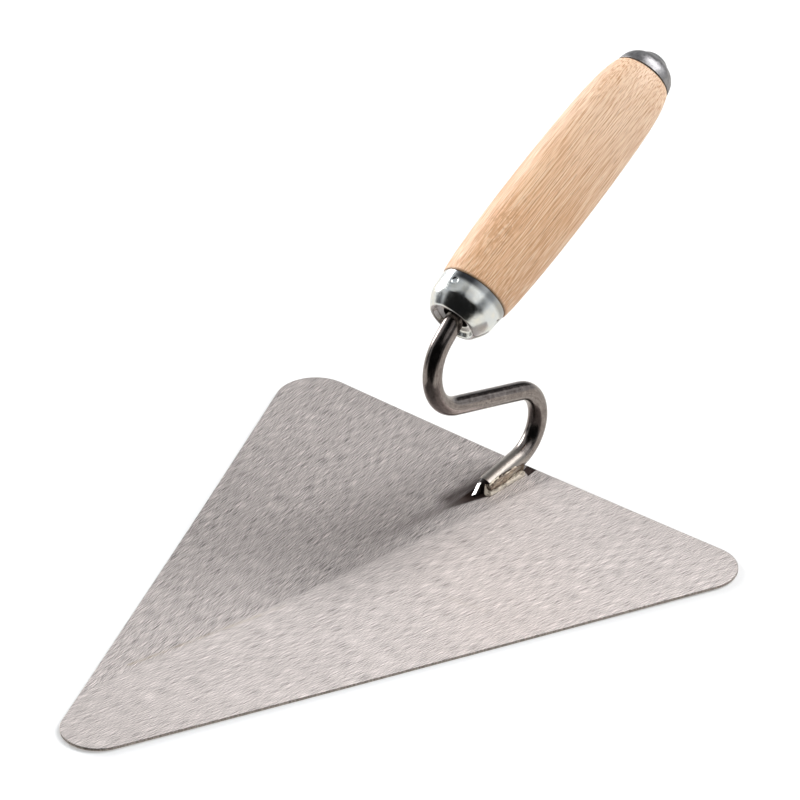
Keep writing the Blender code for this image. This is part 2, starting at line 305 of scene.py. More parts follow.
def ground_strokes(shader, place, right_side):
    """(grain about zero, tangent): short and long strokes, with their own angle on each side."""
    grains = []
    sides = []
    for angle in (STROKES_LEFT, STROKES_RIGHT):
        turn = math.radians(angle)
        side = (math.cos(turn), -math.sin(turn), 0.0)
        along = (math.sin(turn), math.cos(turn), 0.0)
        flow = shader.join(shader.vector("DOT_PRODUCT", place, side),
                           shader.vector("DOT_PRODUCT", place, along), 0.0)
        fine = streaks(shader, flow, (2500, 520, 1), (0.5, 0.0, 0.0))
        long = streaks(shader, flow, (2300, 150, 1), (0.5, 0.0, 7.0), detail=0.0)
        grains.append(shader.math("MULTIPLY_ADD", fine, 0.9, shader.math("MULTIPLY", long, 0.35)))
        sides.append(side)
    difference = shader.math("SUBTRACT", grains[1], grains[0])
    grain = shader.math("MULTIPLY_ADD", difference, right_side, grains[0])
    return grain, shader.mix(right_side, *sides)


def ground_level(shader, place, y, right_side, grain):
    """Brightness of the ground sheet: strokes, faint clouds, and painted shade: a darker left side with
    stronger grain, and slow ramps along Y.
    """
    # Painted shade: the grain is stronger on the left grind, the way it catches the keys.
    contrast = shader.math("MULTIPLY_ADD", right_side, -0.7, 3.0)
    clouds = shader.spread(shader.noise(place, 40.0, detail=2.0), 0.3, 0.7, 0.965, 1.035)
    level = shader.math("ADD", shader.math("MULTIPLY", grain, contrast), clouds)
    # Painted shade: the left grind is darker than the right, and both ramp along Y, for how the keys
    # light each grind.
    left = shader.math("ADD", shader.spread(y, -20 * MM, -110 * MM, 0.844, 0.766, smooth=True),
                       shader.spread(y, -120 * MM, -200 * MM, 0.0, 0.097, smooth=True))
    right = shader.spread(y, -110 * MM, -210 * MM, 0.87, 0.93)
    level = shader.math("MULTIPLY", level, shader.mix(right_side, left, right))
    return shader.math("MINIMUM", shader.math("MAXIMUM", level, 0.15), 1.75)


def blade_stains_and_shade(shader, place, x, y, colour):
    """(colour, share of burnt and shaded steel) with marks of use, heat tint and painted shadows about
    the foot laid over colour.
    """
    smear = near_line(shader, x, y, (-4 * MM, -131 * MM), (-21 * MM, -202 * MM), 0.4 * MM, 0.6 * MM,
                      1.1 * MM)
    patchy = shader.spread(shader.noise(place, 160.0, detail=3.0), 0.35, 0.6)
    smear = shader.math("MULTIPLY", shader.math("MULTIPLY", smear, patchy), 0.5)
    colour = shader.mix(smear, colour, (0.42, 0.35, 0.25))
    spot = near_line(shader, x, y, (42 * MM, -84 * MM), (59 * MM, -82 * MM), 0.6 * MM, 0.6 * MM, 2 * MM)
    colour = shader.mix(shader.math("MULTIPLY", spot, 0.2), colour, (0.42, 0.37, 0.31))
    # Painted contact shadow on the blade, left of the foot.
    shadow_beside_foot = near_line(shader, x, y, (-4.4 * MM, 18 * MM), (-7.0 * MM, -26 * MM), 4.0 * MM,
                            4.0 * MM, 4.6 * MM)
    colour = shader.mix(shader.math("MULTIPLY", shadow_beside_foot, 0.88), colour, (0.06, 0.045, 0.042))
    # Painted shadow: a dark wedge on the blade ahead of the nib, also kept free of sheen.
    shadow_wedge = near_line(shader, x, y, (-0.6 * MM, -14.5 * MM), (-3.2 * MM, -34 * MM), 4.2 * MM, 0.2 * MM,
                      0.8 * MM)
    shadow_wedge = shader.math("MULTIPLY", shadow_wedge, shader.spread(y, -34 * MM, -24 * MM, 0.5, 0.97))
    colour = shader.mix(shadow_wedge, colour, (0.014, 0.007, 0.005))
    # A near-black triangle at the back edge right of the rod: heat tint and painted shade under the rod.
    burn_and_shade = inside(shader, x, y, [(0.0, 15.5 * MM), (1.5 * MM, 11.0 * MM), (6.0 * MM, 8.6 * MM),
                                  (5.4 * MM, 15.5 * MM)], 0.35 * MM)
    colour = shader.mix(shader.math("MULTIPLY", burn_and_shade, 0.95), colour, (0.012, 0.004, 0.003))
    # Painted shadow: a soft dark band running forward and left from the nib.
    shade = near_line(shader, x, y, (-3 * MM, -24 * MM), (-10 * MM, -72 * MM), 2.0 * MM, 4.0 * MM,
                      3.0 * MM)
    shade = shader.math("MULTIPLY", shade, shader.spread(y, -78 * MM, -25 * MM, 0.0, 0.6))
    colour = shader.mix(shade, colour, (0.1, 0.08, 0.075))
    return colour, shader.math("MAXIMUM", burn_and_shade, shadow_wedge)


def blade_material():
    """Belt-ground steel: two directions of strokes that meet at a seam, stained by the welding, with
    painted shade on the left grind and painted shadows about the foot.
    """
    shader = Shader("blade_steel", (0.55, 0.53, 0.51), 1.0, 0.46)
    place = shader.position()
    x, y = shader.split(place)[:2]
    seam = shader.math("MULTIPLY_ADD", y, SEAM_SLOPE, SEAM_X)
    wander = shader.noise(scaled(shader, place, 20, 60, 1), detail=3.0)
    beside = shader.math("MULTIPLY_ADD", shader.math("SUBTRACT", wander, 0.5), 3.0 * MM,
                         shader.math("SUBTRACT", x, seam))
    right_side = shader.spread(beside, -1.6 * MM, 1.6 * MM, smooth=True)
    grain, tangent = ground_strokes(shader, place, right_side)
    level = ground_level(shader, place, y, right_side, grain)
    colour = shader.vector("MULTIPLY", BLADE_COLOUR, shader.join(level, level, level))
    colour, burn_and_shade = blade_stains_and_shade(shader, place, x, y, colour)
    shader.set("Base Color", colour)
    shader.set("Metallic", shader.spread(burn_and_shade, 0.3, 0.95, 0.8, 0.0))
    shader.set("Specular IOR Level", shader.spread(burn_and_shade, 0.3, 0.95, 0.15, 0.0))
    shader.set("Roughness", shader.spread(grain, -0.3, 0.3, 0.465, 0.445))
    shader.set("Anisotropic", 0.85)
    shader.set("Tangent", tangent)
    shader.bump(grain, 0.02 * MM, 0.3)
    return shader.material


def edge_material():
    # The edge face is coloured darker than the top, partly as painted shade.
    shader = Shader("blade_sheared_edge", (0.3, 0.27, 0.25), 1.0, 0.5)
    place = shader.position()
    marks = shader.noise(scaled(shader, place, 1500, 1500, 300), detail=3.0)
    shader.set("Base Color", shader.ramp(marks, [(0.3, (0.2, 0.17, 0.155)), (0.7, (0.46, 0.42, 0.39))]))
    shader.bump(marks, 0.05 * MM, 0.4)
    return shader.material


def rod_material():
    """Drawn and scaled steel, paler and duller where the foot was worked.

    bare is 0 on the cut faces, painted near-black as oxide and shade in the hollows about the nib, 1 on
    the scaled rod and 2 on the nib's bright top.
    """
    shader = Shader("rod_steel", (0.2, 0.18, 0.17), 1.0, 0.33)
    flow = shader.attribute("flow")
    bare = shader.attribute("bare", "Fac")
    drawn = shader.noise(scaled(shader, flow, 60, 1700, 1700), detail=3.0, roughness=0.6)
    mottle = shader.noise(flow, 420.0, detail=4.0, roughness=0.65)
    specks = shader.noise(scaled(shader, flow, 900, 1800, 1800), detail=2.0)
    level = shader.math("MULTIPLY_ADD", drawn, 0.45, shader.math("MULTIPLY", mottle, 0.55))
    colour = shader.ramp(level, [(0.32, (0.17, 0.142, 0.132)), (0.5, (0.26, 0.226, 0.212)),
                                 (0.68, (0.36, 0.32, 0.302))])
    colour = shader.mix(shader.spread(specks, 0.58, 0.7, 0.0, 0.5), colour, (0.08, 0.06, 0.055))
    along = shader.split(flow)[0]
    worked = shader.spread(along, 24 * MM, 33 * MM, 1.0, 0.0, smooth=True)
    colour = shader.mix(shader.math("MULTIPLY", worked, 0.448), colour, (0.52, 0.48, 0.43))
    # Near-black on the cut faces: oxide and painted shade.
    colour = shader.mix(shader.spread(bare, 0.0, 1.0), (0.012, 0.008, 0.007), colour)
    colour = shader.mix(shader.spread(bare, 1.0, 2.0), colour, (0.95, 0.94, 0.92))
    shader.set("Base Color", colour)
    shader.set("Roughness", shader.math("MULTIPLY_ADD", worked, 0.14,
                                        shader.spread(mottle, 0.35, 0.65, 0.16, 0.24)))
    shader.set("Metallic", shader.spread(bare, 0.0, 1.0, 0.3, 1.0))
    shader.bump(level, 0.03 * MM, 0.35)
    return shader.material


def weld_material():
    """Mottled weld metal: pale on the lip, tan on the face, with painted shade in the groove and at the
    rod, and painted glints.
    """
    shader = Shader("weld_metal", (0.42, 0.34, 0.27), 1.0, 0.4)
    across = shader.attribute("across", "Fac")
    place = shader.position()
    mottle = shader.noise(scaled(shader, place, 900, 520, 900), detail=4.0, roughness=0.7)
    where = shader.math("MULTIPLY_ADD", shader.math("SUBTRACT", mottle, 0.5), 0.34, across)
    # The near-black stops, in the groove and where the weld meets the rod, are painted shade.
    colour = shader.ramp(where, [(0.0, (0.60, 0.52, 0.43)), (0.1, (0.93, 0.84, 0.72)),
                                 (0.36, (0.88, 0.78, 0.65)), (0.44, (0.25, 0.19, 0.14)),
                                 (0.50, (0.03, 0.02, 0.015)), (0.57, (0.2, 0.15, 0.11)),
                                 (0.66, (0.42, 0.34, 0.26)), (0.84, (0.36, 0.28, 0.22)),
                                 (0.9, (0.04, 0.028, 0.022)), (1.0, (0.04, 0.03, 0.025))])
    blots = shader.noise(scaled(shader, place, 800, 300, 800), detail=3.0)
    colour = shader.mix(shader.spread(blots, 0.52, 0.64, 0.0, 0.75), colour, (0.12, 0.085, 0.06))
    # Painted glints: pale specks in the colour.
    painted_glints = shader.noise(scaled(shader, place, 1400, 420, 1400), detail=2.0)
    colour = shader.mix(shader.spread(painted_glints, 0.54, 0.64, 0.0, 0.6), colour, (0.78, 0.70, 0.56))
    shader.set("Base Color", colour)
    shader.set("Roughness", shader.spread(where, 0.38, 0.5, 0.62, 0.45))
    shader.set("Metallic", shader.spread(where, 0.38, 0.5, 0.1, 0.8))
    shader.bump(mottle, 0.08 * MM, 0.5)
    return shader.material


def zinc_material():
    """Plating with a faint orange peel, with a painted dark reflection near the rim on the right side."""
    shader = Shader("zinc_plate", (0.8, 0.81, 0.79), 1.0, 0.2)
    place = shader.position()
    peel = shader.noise(place, 1100.0, detail=3.0)
    clouds = shader.noise(place, 190.0, detail=2.0)
    tint = shader.mix(shader.spread(clouds, 0.35, 0.65), (0.76, 0.79, 0.8), (0.84, 0.83, 0.77))
    x, y, z = shader.split(place)
    # Painted reflection: a dark band near the rim on the right side.
    rim_dark_reflection = shader.spread(z, 11.2 * MM, 13.3 * MM, smooth=True)
    rim_dark_reflection = shader.math("MULTIPLY", rim_dark_reflection, shader.spread(x, -7 * MM, 1 * MM, smooth=True))
    rim_dark_reflection = shader.math("MULTIPLY", rim_dark_reflection, shader.spread(x, 5 * MM, 13 * MM, 0.96, 0.5, smooth=True))
    shader.set("Base Color", shader.mix(rim_dark_reflection, tint, (0.03, 0.032, 0.04)))
    shader.set("Roughness", shader.spread(peel, 0.35, 0.65, 0.16, 0.26))
    shader.bump(peel, 0.03 * MM, 0.22)
    return shader.material


def cap_material():
    """Dull pressed steel with faint rings and patches."""
    shader = Shader("cap_steel", (0.5, 0.49, 0.5), 1.0, 0.25)
    place = shader.position()
    x, y, z = shader.split(place)
    radius = shader.vector("LENGTH", shader.join(x, y, 0.0))
    rings = shader.noise(shader.join(radius, z, 0.0), 2600.0, detail=2.0)
    dirt = shader.noise(place, 420.0, detail=4.0, roughness=0.7)
    shader.set("Base Color", shader.ramp(dirt, [(0.3, (0.17, 0.163, 0.168)), (0.55, (0.33, 0.322, 0.328)),
                                                (0.75, (0.46, 0.45, 0.455))]))
    shader.set("Roughness", shader.spread(dirt, 0.35, 0.65, 0.36, 0.46))
    shader.bump(rings, 0.02 * MM, 0.3)
    return shader.material


# Mottled darker patches of the wood: a place on its surface, and how far each one reaches.
STAINS = (((2.0 * MM, -16.5 * MM, 38 * MM), 10 * MM), ((-1.0 * MM, -15.5 * MM, 118 * MM), 6 * MM))


def beech_material():
    """Rift-sawn beech: growth layers, short dark pores and ray flecks along the axis, faint stains, and
    painted shade on the +X side and at the ends under the ferrule and cap.
    """
    shader = Shader("beech", (0.78, 0.55, 0.37), 0.0, 0.5)
    place = shader.position()
    x, y, z = shader.split(place)
    sway = shader.noise(scaled(shader, place, 30, 30, 9), detail=2.0)
    bent = shader.math("MULTIPLY_ADD", shader.math("SUBTRACT", sway, 0.5), 7 * MM, x)
    pith = shader.join(shader.math("ADD", bent, 38 * MM), shader.math("SUBTRACT", y, 22 * MM), 0.0)
    layer = shader.math("FRACT", shader.math("MULTIPLY", shader.vector("LENGTH", pith), 420.0))
    late = shader.math("POWER", layer, 2.2)
    fibres = streaks(shader, place, (1700, 1700, 60), (0.5, 0.4, 0.0), detail=2.0)
    pores = shader.noise(scaled(shader, place, 2500, 2500, 200), detail=1.0)
    flecks = shader.noise(scaled(shader, place, 1900, 1900, 150), detail=1.0)
    broad = shader.noise(scaled(shader, place, 140, 140, 7), detail=3.0)
    stain = shader.noise(scaled(shader, place, 480, 480, 300), detail=2.0, roughness=0.6)
    colour = shader.mix(shader.spread(broad, 0.3, 0.7), (0.86, 0.50, 0.28), (0.93, 0.59, 0.35))
    # Painted shade: the wood darker towards +X, the side turned from the lights.
    colour = shader.mix(shader.spread(x, 1 * MM, 16 * MM, 0.0, 0.45), colour, (0.68, 0.385, 0.205))
    colour = shader.mix(shader.spread(z, 60 * MM, 105 * MM, 0.0, 0.5), colour, (0.98, 0.77, 0.60))
    colour = shader.mix(shader.math("MULTIPLY", late, 0.26), colour, (0.64, 0.34, 0.17))
    colour = shader.mix(shader.spread(fibres, 0.0, 0.22, 0.0, 0.85), colour, (0.60, 0.30, 0.145))
    colour = shader.mix(shader.spread(fibres, 0.0, -0.22, 0.0, 0.75), colour, (1.0, 0.77, 0.56))
    colour = shader.mix(shader.spread(pores, 0.58, 0.72, 0.0, 0.35), colour, (0.44, 0.22, 0.11))
    colour = shader.mix(shader.spread(flecks, 0.64, 0.74, 0.0, 0.35), colour, (0.36, 0.17, 0.08))

    for middle, reach in STAINS:
        away = shader.vector("MULTIPLY", shader.vector("SUBTRACT", place, middle), (1.0, 1.0, 0.55))
        near = shader.spread(shader.vector("LENGTH", away), reach, reach * 0.35, smooth=True)
        patch = shader.math("MULTIPLY", near, shader.spread(stain, 0.52, 0.58, 0.0, 0.5))
        colour = shader.mix(patch, colour, (0.60, 0.30, 0.14))
    # Painted shade where the wood meets the ferrule and the cap.
    ends = shader.spread(z, FERRULE_LENGTH + 0.2 * MM, FERRULE_LENGTH + 1.1 * MM, 0.85, 0.0)
    rear_end = shader.spread(z, CAP_START - 0.9 * MM, CAP_START - 0.2 * MM, 0.0, 0.8)
    ends = shader.math("MAXIMUM", ends, rear_end)
    colour = shader.mix(ends, colour, (0.09, 0.05, 0.03))
    # Painted shade: near-black on the wood inside the ferrule.
    colour = shader.mix(shader.spread(z, 12 * MM, 14 * MM, 0.97, 0.0), colour, (0.008, 0.005, 0.004))
    shader.set("Base Color", colour)
    shader.set("Roughness", shader.spread(fibres, -0.3, 0.3, 0.44, 0.56))
    shader.set("Specular IOR Level", 0.5)
    shader.bump(fibres, -0.05 * MM, 0.3)
    return shader.material


# ---------------------------------------------------------------- the blade

def blade_outline(corner_steps=26, side_steps=40):
    """The rounded triangle, anticlockwise from the right rear corner."""
    back = BLADE_HIGH.y
    half = BLADE_WIDTH / 2
    side = math.degrees(math.atan2(half, BLADE_LENGTH))
    rear_x = half - REAR_CORNER_RADIUS / math.tan(math.radians(90 - side) / 2)
    rear_y = back - REAR_CORNER_RADIUS
    tip_y = back - BLADE_LENGTH + TIP_RADIUS / math.sin(math.radians(side))
    corners = [arc((rear_x, rear_y), REAR_CORNER_RADIUS, -side, 90, corner_steps),
               arc((-rear_x, rear_y), REAR_CORNER_RADIUS, 90, 180 + side, corner_steps),
               arc((0.0, tip_y), TIP_RADIUS, 180 + side, 360 - side, corner_steps)]
    outline = []
    for corner, following in zip(corners, corners[1:] + corners[:1]):
        outline += list(corner)
        for i in range(1, side_steps):
            outline.append(corner[-1] + (following[0] - corner[-1]) * i / side_steps)
    return np.array(outline)


# How far the sheet has sprung out of its plane: at the tip, the left rear and the right rear corner.
SPRUNG = ((0.0, BLADE_LOW.y, 0.5 * MM), (BLADE_LOW.x, BLADE_HIGH.y, 1.7 * MM),
          (BLADE_HIGH.x, BLADE_HIGH.y, 0.7 * MM))
SPRUNG_REACH = 125 * MM


def sprung(points):
    """Height of the sheet's slight warp: it is flat under the neck and curls up at the corners."""
    lift = np.zeros(len(points))
    for x, y, height in SPRUNG:
        away = np.hypot(points[:, 0] - x, points[:, 1] - y)
        lift += height * np.clip(1 - away / SPRUNG_REACH, 0, 1) ** 1.5
    return lift


def make_blade():
    outline = blade_outline()
    ahead = np.roll(outline, -1, 0) - np.roll(outline, 1, 0)
    inward = np.stack([-ahead[:, 1], ahead[:, 0]], 1)
    inward /= np.linalg.norm(inward, axis=1)[:, None]
    centre = np.array([0.0, BLADE_HIGH.y - BLADE_LENGTH * 0.4])
    thick = BLADE_TOP - BLADE_LOW.z
    # The rounded edge from the top face to the bottom one: inset in millimetres, share of the thickness.
    edge = [(0.45, 1.0), (0.22, 1.0), (0.09, 0.965), (0.02, 0.88), (0.0, 0.75), (0.0, 0.5),
            (0.0, 0.25), (0.02, 0.12), (0.09, 0.035), (0.22, 0.0), (0.45, 0.0)]
    inner = outline + inward * edge[0][0] * MM
    # Rings from the edge in to the middle of a face, closer together near the edge.
    shrink = 1 - np.linspace(0, 1, 27)[1:-1] ** 1.3
    rows = [np.c_[centre + (inner - centre) * s, np.full(len(outline), thick)]
            for s in shrink[::-1]]
    rows += [np.c_[outline + inward * inset * MM, np.full(len(outline), thick * level)]
             for inset, level in edge]
    rows += [np.c_[centre + (inner - centre) * s, np.zeros(len(outline))] for s in shrink]
    rows = np.array(rows)[:, ::-1]
    flat = rows.reshape(-1, 3)
    flat[:, 2] += sprung(flat[:, :2]) + BLADE_LOW.z
    piece = skin("blade_sheet", flat.reshape(rows.shape))
    piece.data.materials.append(blade_material())
    piece.data.materials.append(edge_material())
    band = range((len(shrink) + 2) * len(outline), (len(shrink) + len(edge) - 3) * len(outline))
    for index in band:
        piece.data.polygons[index].material_index = 1
    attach(piece, "root")
    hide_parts("blade")


# ---------------------------------------------------------------- the bent rod

class RodPath:
    """The rod's centre line in the plane X = 0, with the heading at each point."""

    def __init__(self, y, z, heading):
        self.points = [np.array([y, z])]
        self.headings = [heading]
        self.curved = [0.0]
        self.heading = heading

    def step(self, length, turn=0.0, curved=0.0):
        self.heading += turn / 2
        angle = math.radians(self.heading)
        self.points.append(self.points[-1] + length * np.array([math.cos(angle), math.sin(angle)]))
        self.heading += turn / 2
        self.headings.append(self.heading)
        self.curved.append(curved)

    def straight(self, length, spacing=2.0 * MM):
        steps = max(1, math.ceil(length / spacing))
        for _ in range(steps):
            self.step(length / steps)

    def bend(self, radius, angle, spacing=3.0):
        steps = math.ceil(abs(angle) / spacing)
        chord = 2 * radius * math.sin(math.radians(abs(angle) / steps / 2))
        for i in range(steps):
            self.step(chord, angle / steps, math.sin(math.pi * (i + 1) / steps))


def neck_path(tang=True):
    path = RodPath(FOOT_START[0], BLADE_TOP + FOOT_START[1], FOOT_RISE)
    path.straight(FOOT_LENGTH)
    path.bend(*HEEL)
    path.straight(CROSS_LENGTH)
    path.bend(*TOE)
    path.straight(RISER_LENGTH)
    path.bend(*SET_BEND)
    if tang:
        path.straight(TANG_LENGTH, 4.0 * MM)
    return path


NIB_TIP = (-18.6 * MM, 1.3 * MM)   # along Y, and height over the blade, of the ridge's front end
NIB_ROOT = (-14.8 * MM, 5.4 * MM)
ROD_FRONT = -13.3 * MM             # the rod is cut away ahead of this
NIB_RIDGE = 0.97 * MM              # half of the ridge's width
NIB_SIDE = -0.6 * MM               # the ridge stands a little left of the middle
NIB_SHARES = (0.0, 0.12, 0.5, 0.9, 1.0)
ROD_SIDES = 48
POINT_STEPS = 4                    # steps of the path over which the tang narrows to its end


def nib_ring(y, top, ridge):
    """A thin wall whose ground top slopes down to the left; the order of its points is the rod's."""
    corners = [(ridge, 0.4 * ridge), (-ridge, -ridge), (-1.15 * ridge, -top), (1.15 * ridge, -top)]
    places = [0.0, 0.3, 0.5, 0.8]
    ring = np.zeros((ROD_SIDES, 3))
    bare = np.zeros(ROD_SIDES)
    for i in range(ROD_SIDES):
        share = i / ROD_SIDES
        k = max(j for j in range(4) if places[j] <= share)
        following = places[k + 1] if k < 3 else 1.0
        t = (share - places[k]) / (following - places[k])
        a, b = np.array(corners[k]), np.array(corners[(k + 1) % 4])
        x, z = a + (b - a) * t
        ring[i] = (NIB_SIDE + x, y, BLADE_TOP + max(top + z, 0.02 * MM))
        # The nib's sides stay at 0: near-black, oxide and painted shade.
        bare[i] = 2.0 if k == 0 or share == places[1] else 0.0
    return ring, bare


def make_neck():
    """The nib, the cut face behind it (near-black: oxide and painted shade), and the rod along its path,
    as one skin.
    """
    path = neck_path()
    angles = np.linspace(0, 2 * math.pi, ROD_SIDES, endpoint=False)
    rows = []
    flow = []
    bare = []
    along = 0.0
    nib_length = NIB_ROOT[0] - NIB_TIP[0]
    for share in NIB_SHARES:
        y = NIB_TIP[0] + nib_length * share
        top = NIB_TIP[1] + (NIB_ROOT[1] - NIB_TIP[1]) * share
        ring, shine = nib_ring(y, top, NIB_RIDGE)
        rows.append(ring)
        bare.append(shine * (share < 1.0))
        flow.append(np.c_[np.full(ROD_SIDES, y), ring[:, 0], ring[:, 2]])
    total = len(path.points)
    for index, (point, heading, curved) in enumerate(zip(path.points, path.headings, path.curved)):
        if index:
            along += np.linalg.norm(point - path.points[index - 1])
        if point[0] < ROD_FRONT and along < FOOT_LENGTH / 2:
            continue
        turn = math.radians(heading)
        normal = np.array([-math.sin(turn), math.cos(turn)])
        thin = 1 - 0.025 * curved      # bending flattens the rod a little
        wide = 1 + 0.02 * curved
        scale = 1.0
        left = total - 1 - index
        if left < POINT_STEPS:
            scale = 0.4 + 0.6 * left / POINT_STEPS
        x = ROD_RADIUS * wide * scale * np.cos(angles)
        rise = ROD_RADIUS * thin * scale * np.sin(angles)
        y = point[0] + normal[0] * rise
        z = np.maximum(point[1] + normal[1] * rise, BLADE_TOP + 0.02 * MM)
        # The cut face behind the nib, painted near-black as oxide and shade.
        if len(rows) == len(NIB_SHARES):
            rows.append(np.stack([0.93 * x, y - 0.1 * MM, z * 0.96 + 0.04 * point[1]], 1))
            flow.append(np.c_[np.full(ROD_SIDES, along), x, rise])
            bare.append(np.zeros(ROD_SIDES))
        rows.append(np.stack([x, y, z], 1))
        flow.append(np.c_[np.full(ROD_SIDES, along), x, rise])
        bare.append(np.ones(ROD_SIDES))
    piece = skin("neck_rod", rows)
    values = np.array(flow).reshape(-1, 3)
    point_values(piece, "flow", np.vstack([values, values[:1], values[-1:]]), "FLOAT_VECTOR")
    point_values(piece, "bare", np.r_[np.ravel(bare), 0.0, 1.0])
    piece.data.set_sharp_from_angle(angle=math.radians(40))
    piece.data.materials.append(rod_material())
    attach(piece, "root")
    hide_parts("neck")


# ---------------------------------------------------------------- the welds

BEAD_FRONT = -14.5 * MM
LEFT_BEAD_FRONT = -11.6 * MM       # the nib covers where the left one would begin
BEAD_REAR = 9.4 * MM
# Shares of a bead's length with the weld's upper line there, in degrees above the rod's side.
BEAD_TOP = ((0.0, 0.3, 0.68, 1.0), (43.0, 45.0, 27.0, -22.0))
# Shares of a bead's length with the height of its groove there, in millimetres over the blade.
BEAD_GROOVE = ((0.0, 0.1, 0.35, 0.6, 1.0), (2.9, 2.5, 1.75, 1.9, 2.0))
BEAD_STEPS = 70
BEAD_AROUND = 46                   # points of a section from the toe up to the rod
BEAD_CORE = 1.6                    # millimetres from the middle to the hidden inner side
# Where each point of a section lies in the weld's colours, from the toe (0) up to the rod (1).
BEAD_COLOUR_PLACES = (0.0, 0.05, 0.16, 0.32, 0.44, 0.5, 0.58, 0.75, 0.9, 0.97, 1.0)


def ahead_of_rod(y):
    """0 beside the rod, rising to 1 where the bead stands in front of the rod's cut end."""
    return float(ease((ROD_FRONT - y) / (0.6 * MM)))


def bead_section(y, wobble):
    """(distance from the middle, height over the blade) in millimetres, from the toe to the rod."""
    share = (y - BEAD_FRONT) / (BEAD_REAR - BEAD_FRONT)
    centre = (FOOT_START[1] + (y - FOOT_START[0]) * math.tan(math.radians(FOOT_RISE))) / MM
    radius = ROD_RADIUS / MM
    top = math.radians(np.interp(share, *BEAD_TOP))
    groove = np.interp(share, *BEAD_GROOVE)
    middle = centre + radius * math.sin(top) * 0.45
    upper = centre + radius * math.sin(top) * 0.8

    def beside_rod(height, out):
        return max(2.4, math.sqrt(max(0.0, radius ** 2 - (height - centre) ** 2))) + out

    def on_rod(out):
        return (radius + out) * math.cos(top), centre + (radius + out) * math.sin(top)

    lip = [(4.72 + wobble, 0.0), (4.78 + wobble, 0.35), (4.7 + wobble, 0.95), (4.5 + wobble, 1.6)]
    face = [(beside_rod(groove, 0.28), groove - 0.2), (beside_rod(groove, 0.08), groove + 0.1),
            (beside_rod(groove + 0.5, 0.2), groove + 0.5), (beside_rod(middle, 0.34 + wobble), middle),
            (beside_rod(upper, 0.22), upper), on_rod(0.04), on_rod(-0.3)]
    wrap = 1.9 * ahead_of_rod(y)
    return lip + [(max(1.7, x - wrap), z) for x, z in face]


def make_bead(name, node, side):
    """A fillet along the foot: a rounded lip at the toe, a groove, and a face up to the rod."""
    rows = []
    across = []
    front = BEAD_FRONT if side > 0 else LEFT_BEAD_FRONT
    for i in range(BEAD_STEPS + 1):
        share = i / BEAD_STEPS
        y = front + (BEAD_REAR - front) * share
        past = max((0.035 - share) / 0.035, (share - 0.92) / 0.08, 0.0)
        end = math.sqrt(max(0.0, 1 - past ** 2))
        wobble = 0.05 * math.sin(math.pi * y / (1.15 * MM))
        wobble += 0.12 * noise.noise((y * 500, side * 3, 0))
        section = bead_section(y, wobble)
        line = smooth_line(section, 0.14)
        picks = np.linspace(0, len(line) - 1, BEAD_AROUND).round().astype(int)
        ring = np.vstack([line[picks], [(BEAD_CORE, section[-1][1] * 0.6), (BEAD_CORE, 0.0)]])
        x = BEAD_CORE + (ring[:, 0] - BEAD_CORE) * (0.35 + 0.65 * end)
        z = np.maximum(ring[:, 1] * (0.15 + 0.85 * end), 0.02)
        rows.append(np.c_[x * MM * side, np.full(len(ring), y), z * MM + BLADE_TOP])
        places = np.linalg.norm(np.diff(np.array(section), axis=0), axis=1)
        places = np.r_[0.0, np.cumsum(places)] / places.sum()
        shades = np.interp(np.linspace(0, 1, BEAD_AROUND), places, BEAD_COLOUR_PLACES)
        across.append(np.r_[np.minimum(shades, 1.0 - 0.72 * ahead_of_rod(y)), 1.0, 1.0])
    rows = np.array(rows)
    if side < 0:
        rows = rows[:, ::-1]
        across = [row[::-1] for row in across]
    piece = skin(name, rows[:, ::-1])
    values = np.array(across)[:, ::-1].ravel()
    point_values(piece, "across", np.r_[values, 0.2, 0.2])
    piece.data.materials.append(weld_material())
    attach(piece, "root")
    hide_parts(node)


# ---------------------------------------------------------------- turned pieces

def handle_matrix():
    """Local Z runs along the handle from the ferrule's mouth, local X is the row's X."""
    path = neck_path(tang=False)
    turn = math.radians(path.heading)
    axis = Vector((0.0, math.cos(turn), math.sin(turn)))
    end = Vector((0.0, *path.points[-1]))
    mouth = end - axis * MOUTH_TO_BEND
    across = Vector((1.0, 0.0, 0.0))
    matrix = Matrix((across, axis.cross(across), axis)).transposed().to_4x4()
    matrix.translation = mouth
    return matrix


def turned(name, profile, matrix, sides, closed=False, change=None):
    """Turn (radius, station) pairs about local Z.

    A closed profile is a ring round the axis.  change may push the radius in or out.
    """
    angles = np.linspace(0, math.tau, sides, endpoint=False)
    rows = []
    for radius, station in profile:
        radii = np.full(sides, radius)
        if change is not None:
            radii = radii + change(angles, station, radius)
        rows.append(np.stack([radii * np.cos(angles), radii * np.sin(angles),
                              np.full(sides, station)], 1))
    if closed:
        rows.append(rows[0])
    return skin(name, rows, capped=not closed, location=matrix)


def ferrule_profile():
    rim, mouth, hole = FERRULE_RIM_RADIUS / MM, 10.0, 5.8
    outer = [(rim, 15.1), (rim - 0.1, 12.3), (rim - 0.27, 9.5), (rim - 0.6, 6.6),
             (rim - 1.25, 4.8), (rim - 2.15, 3.1), (rim - 3.2, 1.4), (mouth + 0.9, 0.4),
             (mouth + 0.25, 0.02), (mouth - 0.3, 0.1)]
    floor = [(mouth - 0.7, 0.5), (mouth - 1.2, 1.2), (mouth - 2.0, 2.0), (hole + 0.5, 2.5),
             (hole, 2.7)]
    inner = [(hole, 3.4), (mouth - 1.6, 3.0), (mouth + 0.6, 2.4), (rim - 2.6, 5.0),
             (rim - 1.1, 9.7), (rim - 0.8, 15.1)]
    line = np.vstack([smooth_line(outer, 0.25), smooth_line(floor, 0.3), smooth_line(inner, 0.6)])
    return line * MM


